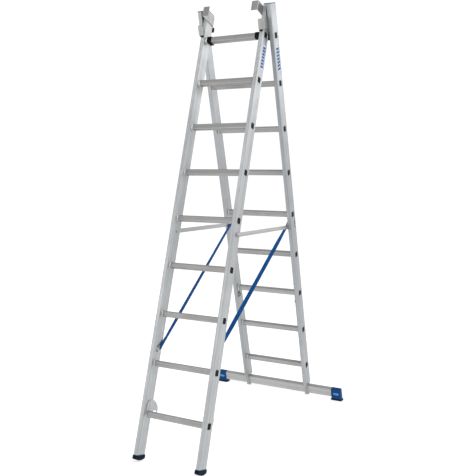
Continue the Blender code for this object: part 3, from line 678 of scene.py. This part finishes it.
def foot_bars():
    """Two raised plain bars across the block's face: place and half height as shares of it."""
    meshes = []
    for middle, high, width in ((0.60, 0.040, 0.040), (0.49, 0.018, 0.034)):
        loop = rounded(-width / 2, width / 2, -high, high, 0.008, 3)
        meshes.append(lofted([[foot_face(FOOT_X + u * narrow, middle + v * flat, out)
                               for u, v in loop]
                              for out, narrow, flat in ((-0.0005, 1.0, 1.0), (0.0006, 1.0, 1.0),
                                                        (0.0010, 0.99, 0.955))]))
    return merged(meshes)


both("foot_bars", foot_bars(), Matrix.Identity(4), "rear_section", PALE_BLUE)

# ---------------------------------------------------------- plain labels
FILM, PRINT = 0.0003, 0.0005  # how far a label and its marks stand off the stile
LABEL_BLOCKS, BLOCK_FILL, BLOCK_SLANT = 7, 0.78, 0.0045
LABEL_LOW, LABEL_HIGH = 0.212, 0.058  # below the top rung


def label(outer, low, high, w0, w1):
    """Pale field inside a thin blue line, with a row of plain slanted blocks along it."""
    field = outline([rounded(w0, w1, low, high, 0.003)], outer - SINK, outer + FILM, across=True)
    frame_line = rounded(w0 + 0.0010, w1 - 0.0010, low + 0.0010, high - 0.0010, 0.0025)
    hole = rounded(w0 + 0.0026, w1 - 0.0026, low + 0.0026, high - 0.0026, 0.002)
    marks = [outline([frame_line, hole], outer + SINK, outer + PRINT, across=True)]
    span = (high - low - 0.018) / LABEL_BLOCKS
    for i in range(LABEL_BLOCKS):
        s = low + 0.0075 + span * i
        loop = [(w0 + 0.0045, s), (w1 - 0.0045, s + BLOCK_SLANT),
                (w1 - 0.0045, s + span * BLOCK_FILL + BLOCK_SLANT),
                (w0 + 0.0045, s + span * BLOCK_FILL)]
        marks.append(outline([loop], outer + SINK, outer + PRINT, across=True))
    return field, merged(marks)


for name, place, body, outer, top, w0, w1 in (
        ("front_label", FRONT, "front_section", F_OUT, F9, -0.012, 0.027),
        ("rear_label", REAR, "rear_section", R_OUT, R9, -0.018, 0.025)):
    field, marks = label(outer, top - LABEL_LOW, top - LABEL_HIGH, w0, w1)
    piece(name + "_field", field, place, body, LABEL_PALE)
    piece(name + "_marks", marks, place, body, LABEL_BLUE)

# Two columns of short grey ticks below rung 5 of the right rear stile, with gaps at fixed places.
TICK_ROWS, TICK_SPACING, TICK_HIGH = 5, 0.0140, 0.0080
TICK_COLUMNS = ((0.008, 0.011), (0.0215, 0.010))  # start and width along w
ticks = []
for i in range(TICK_ROWS):
    s = R1 + 4 * PITCH - 0.036 - TICK_SPACING * i
    for k, (w, width) in enumerate(TICK_COLUMNS):
        if (i + k) % 4:
            ticks.append(outline([rounded(w, w + width, s - TICK_HIGH, s, 0.0012, 2)],
                                 R_OUT - SINK, R_OUT + FILM, across=True))
piece("rear_rating_marks", merged(ticks), REAR, "rear_section", LABEL_GREY)

# ---------------------------------------------------------- straps
STRAP_TOP = REAR @ Vector((0.2065, -0.015, R1 + 1.050))
STRAP_LOW = FRONT @ Vector((0.1795, 0.013, F1 + 0.369))
TWIST = {1.0: (30.0, 35.0), -1.0: (-3.0, -13.0)}  # degrees at the upper and lower end, by side
BAND_THICK, BAND_HALF = 0.0014, 0.0125
BAND_SHARES = (-1.0, -0.975, -0.93, -0.6, -0.2, 0.2, 0.6, 0.93, 0.975, 1.0)
PLY = 0.00076               # where the band lies doubled, each layer's middle is this far off
BEND = 0.0020 + 0.0002 + BAND_THICK / 2.0  # the band's middle round a ring's bar
RUN_STEPS = 72
SEAM_U = 0.0095             # the side seams' distance from the middle
STITCH_PITCH, STITCH_HALF, STITCH_RISE = 0.0034, 0.00042, 0.00028
THREAD_CLEAR = 0.00002      # keeps the thread off the band


def strap_path(length):
    """Middle line, as (along, off) pairs: sewn tail, round the upper ring's bar, the single
    run, round the lower bar, sewn tail."""
    path = [(0.050 - 0.038 * i / 9, PLY) for i in range(10)]
    path += [(0.008, 0.0012)]
    path += arc(0.0, 0.0, BEND, 62, 298, 14)
    path += [(0.008, -0.0012)]
    path += [(0.012 + 0.043 * i / 10, -PLY) for i in range(11)]
    path += [(0.070, -PLY * 0.4)]
    path += [(0.085 + (length - 0.190) * i / RUN_STEPS, 0.0) for i in range(RUN_STEPS + 1)]
    path += [(length - 0.090, -PLY * 0.4)]
    path += [(length - 0.076 + 0.064 * i / 14, -PLY) for i in range(15)]
    path += [(length - 0.008, -0.0012)]
    path += arc(length, 0.0, BEND, -118, 118, 14)
    path += [(length - 0.008, 0.0012)]
    path += [(length - 0.012 - 0.060 * i / 13, PLY) for i in range(14)]
    return path


def strap_profile():
    """Cross-section of the band, as (across, off) pairs, thinner at its woven edges."""
    section = []
    for share in BAND_SHARES:
        fullness = 0.25 if abs(share) == 1.0 else 0.75 if abs(share) > 0.95 else 1.0
        section.append((share * BAND_HALF, BAND_THICK / 2.0 * fullness))
    return section + [(u, -v) for u, v in reversed(section)]


def sweep_band(bm, path, profile, place):
    """Skins the profile along the path. Its UVs are lengths along and across, in metres."""
    uv_layer = bm.loops.layers.uv.new("uv")
    rows = []
    travelled = []
    total = 0.0
    for i, (a, b) in enumerate(path):
        if i:
            total += math.dist(path[i], path[i - 1])
        travelled.append(total)
        before = Vector(path[max(i - 1, 0)])
        after = Vector(path[min(i + 1, len(path) - 1)])
        tangent = (after - before).normalized()
        out = Vector((-tangent.y, tangent.x))
        row = []
        for u, v in profile:
            spot = Vector((a, b)) + out * v
            row.append(bm.verts.new(place(spot.x, u, spot.y)))
        rows.append(row)
    across = len(profile)
    for i in range(len(rows) - 1):
        for k in range(across):
            j = (k + 1) % across
            face = bm.faces.new((rows[i][k], rows[i][j], rows[i + 1][j], rows[i + 1][k]))
            for corner, (t, m) in zip(face.loops, ((i, k), (i, j), (i + 1, j), (i + 1, k))):
                corner[uv_layer].uv = (travelled[t], profile[m][0] + BAND_HALF)
    bm.faces.new(list(reversed(rows[0])))
    bm.faces.new(rows[-1])


def stitch(bm, place, start, stop, lift):
    """One thread float lying on the doubled band."""
    heading = (stop - start).normalized()
    sideways = Vector((-heading.y, heading.x)) * STITCH_HALF
    made = []
    for base, rise in ((start, 0.0), (start.lerp(stop, 0.25), STITCH_RISE),
                       (start.lerp(stop, 0.75), STITCH_RISE), (stop, 0.0)):
        row = []
        for shift, crest in ((-1.0, 0.0), (0.0, 1.0), (1.0, 0.0)):
            p = base + sideways * shift
            height = lift + math.copysign(rise * crest + THREAD_CLEAR, lift)
            row.append(bm.verts.new(place(p.x, p.y, height)))
        made.append(row)
    for one, two in zip(made, made[1:]):
        for k in range(2):
            face = bm.faces.new((one[k], one[k + 1], two[k + 1], two[k]))
            face.material_index = 1


def seam_line(bm, place, a0, u0, a1, u1, lift):
    """A straight row of stitches."""
    steps = max(2, int(math.dist((a0, u0), (a1, u1)) / STITCH_PITCH))
    for i in range(steps):
        s0, s1 = (i + 0.12) / steps, (i + 0.82) / steps
        stitch(bm, place, Vector((a0 + (a1 - a0) * s0, u0 + (u1 - u0) * s0)),
               Vector((a0 + (a1 - a0) * s1, u0 + (u1 - u0) * s1)), lift)


def strap(side):
    """Sewn webbing along the CAD route: single band, doubled ends, a loop on each ring's bar."""
    flip = Vector((side, 1.0, 1.0))
    top = STRAP_TOP * flip
    low = STRAP_LOW * flip
    run = (low - top).normalized()
    length = (low - top).length
    facing = Vector((side, -0.13, 0.0))
    normal = (facing - facing.dot(run) * run).normalized()
    edge = run.cross(normal)

    def place(a, u, v):
        """Point on the band: a along it, u across, v off it; the band rolls a little mid-way."""
        share = min(max((a - 0.045) / (length - 0.125), 0.0), 1.0)
        upper, lower = TWIST[side]
        roll = math.radians(upper + (lower - upper) * share) * side
        roll *= min(1.0, 2.2 * math.sin(math.pi * share))
        lift = normal * math.cos(roll) + edge * math.sin(roll)
        over = edge * math.cos(roll) - normal * math.sin(roll)
        return top + run * a + over * u + lift * v

    bm = bmesh.new()
    sweep_band(bm, strap_path(length), strap_profile(), place)
    surface = PLY + BAND_THICK / 2.0
    for a0, a1 in ((0.014, 0.046), (length - 0.070, length - 0.014)):
        for lift in (surface, -surface):
            for u in (-SEAM_U, SEAM_U):
                seam_line(bm, place, a0, u, a1, u, lift)
            for a in (a0, a1):
                seam_line(bm, place, a, -SEAM_U, a, SEAM_U, lift)
            seam_line(bm, place, a0, -SEAM_U, a1, SEAM_U, lift)
            seam_line(bm, place, a0, SEAM_U, a1, -SEAM_U, lift)
    mesh = as_mesh(bm, "strap")
    name = "right" if side > 0 else "left"
    made = bpy.data.objects.new("webbing_strap_" + name, mesh)
    bpy.context.scene.collection.objects.link(made)
    mesh.materials.append(WEBBING)
    mesh.materials.append(THREAD)
    mesh.shade_smooth()
    mesh.set_sharp_from_angle(angle=math.radians(50))
    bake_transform(made)
    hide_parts("strap_" + name)


strap(1.0)
strap(-1.0)

# ---------------------------------------------------------- floor and light
FLOOR_HALF, FLOOR_Z = 14.0, -0.0004
FLOOR_GREY, FLOOR_GLOW = 0.82, 0.50
# The sky's strength falls from To Min to To Max as a direction's z rises through the From range.
SKY = {"From Min": 0.42, "From Max": 0.82, "To Min": 1.05, "To Max": 0.48}

floor_mesh = bpy.data.meshes.new("studio_floor")
bm = bmesh.new()
bmesh.ops.create_grid(bm, x_segments=2, y_segments=2, size=FLOOR_HALF)
bm.to_mesh(floor_mesh)
bm.free()
floor = bpy.data.objects.new("studio_floor", floor_mesh)
bpy.context.scene.collection.objects.link(floor)
floor.location = (0.0, 0.0, FLOOR_Z)
floor_nodes = Nodes("studio_floor")
floor_nodes.set(Base_Color=(FLOOR_GREY, FLOOR_GREY, FLOOR_GREY), Emission_Color=(1.0, 1.0, 1.0),
                Emission_Strength=FLOOR_GLOW, Roughness=0.9, Specular_IOR_Level=0.1)
floor_mesh.materials.append(floor_nodes.material)

world = bpy.data.worlds.new("studio")
world.use_nodes = True
sky = world.node_tree
split = sky.nodes.new("ShaderNodeSeparateXYZ")
sky.links.new(sky.nodes.new("ShaderNodeTexCoord").outputs["Generated"], split.inputs["Vector"])
fall = sky.nodes.new("ShaderNodeMapRange")
for socket_name, value in SKY.items():
    fall.inputs[socket_name].default_value = value
sky.links.new(split.outputs["Z"], fall.inputs["Value"])
sky.nodes["Background"].inputs["Color"].default_value = (1.0, 1.0, 1.0, 1.0)
sky.links.new(fall.outputs["Result"], sky.nodes["Background"].inputs["Strength"])
bpy.context.scene.world = world


def softbox(name, place, target, size, power):
    data = bpy.data.lights.new(name, "AREA")
    data.shape = "RECTANGLE"
    data.size, data.size_y = size
    data.energy = power
    made = bpy.data.objects.new(name, data)
    bpy.context.scene.collection.objects.link(made)
    made.location = place
    made.rotation_euler = (Vector(target) - Vector(place)).to_track_quat("-Z", "Y").to_euler()


softbox("key", (3.8, -2.2, 4.6), (0.0, 0.0, 1.5), (2.4, 2.4), 90.0)
softbox("fill", (-2.4, -4.2, 2.0), (0.0, 0.0, 1.0), (2.4, 2.0), 14.0)
softbox("edge", (2.8, 5.0, 3.3), (0.0, 0.0, 1.9), (2.4, 1.5), 20.0)
